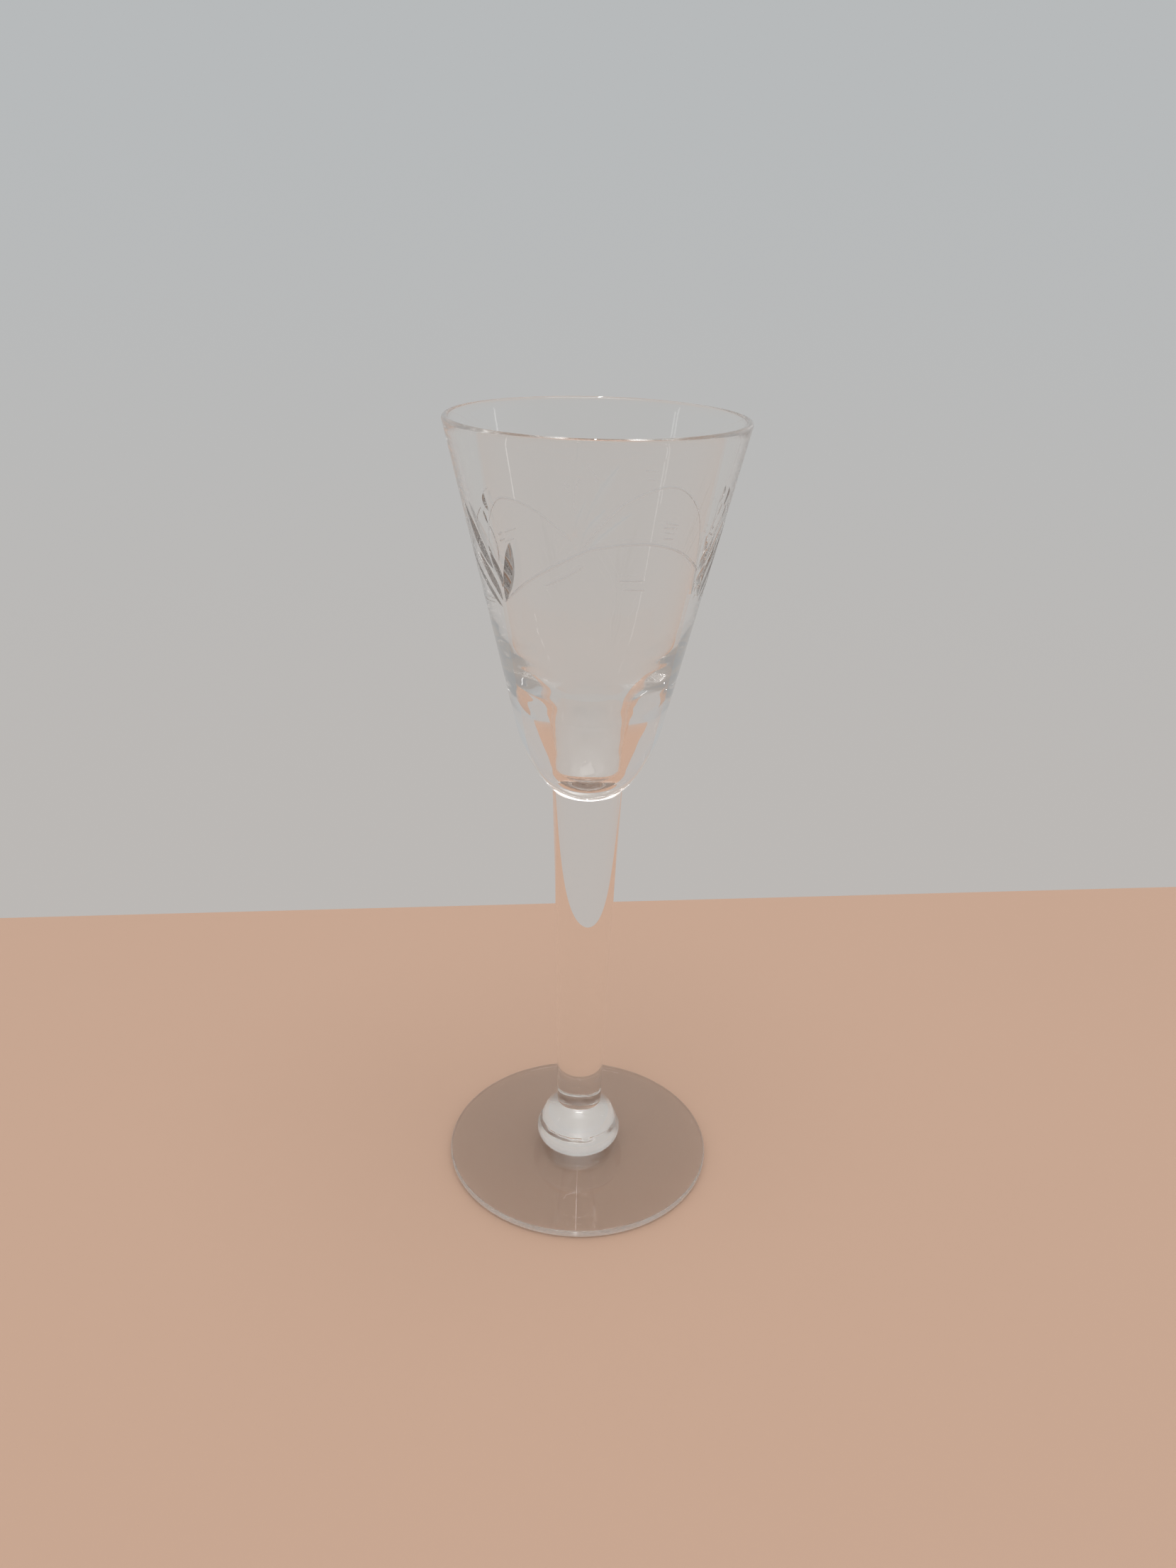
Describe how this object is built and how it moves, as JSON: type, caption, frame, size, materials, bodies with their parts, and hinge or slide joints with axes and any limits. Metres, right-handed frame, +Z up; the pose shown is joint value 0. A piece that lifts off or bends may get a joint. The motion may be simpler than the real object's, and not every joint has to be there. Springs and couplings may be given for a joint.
{
  "type": "cordial glass",
  "caption": "Small stemmed drinking glass: conical bowl with a thick base and a narrow well, on a solid tapered stem with a ball knop, a collar and a flat round foot.",
  "frame": {"origin": "centre of the circle on which the foot rests, on the table's plane", "axes": "+Z up along the glass's own axis, from the foot to the rim; X and Y across, X to the right and Y away from the viewer"},
  "size_m": [0.0536, 0.0536, 0.15],
  "materials": {
    "clear_glass": "fire-polished clear glass with a faint warm tint"
  },
  "bodies": {
    "root": {"foot": "clear_glass", "collar": "clear_glass", "knop": "clear_glass", "stem": "clear_glass", "bowl": "clear_glass"}
  },
  "joints": []
}
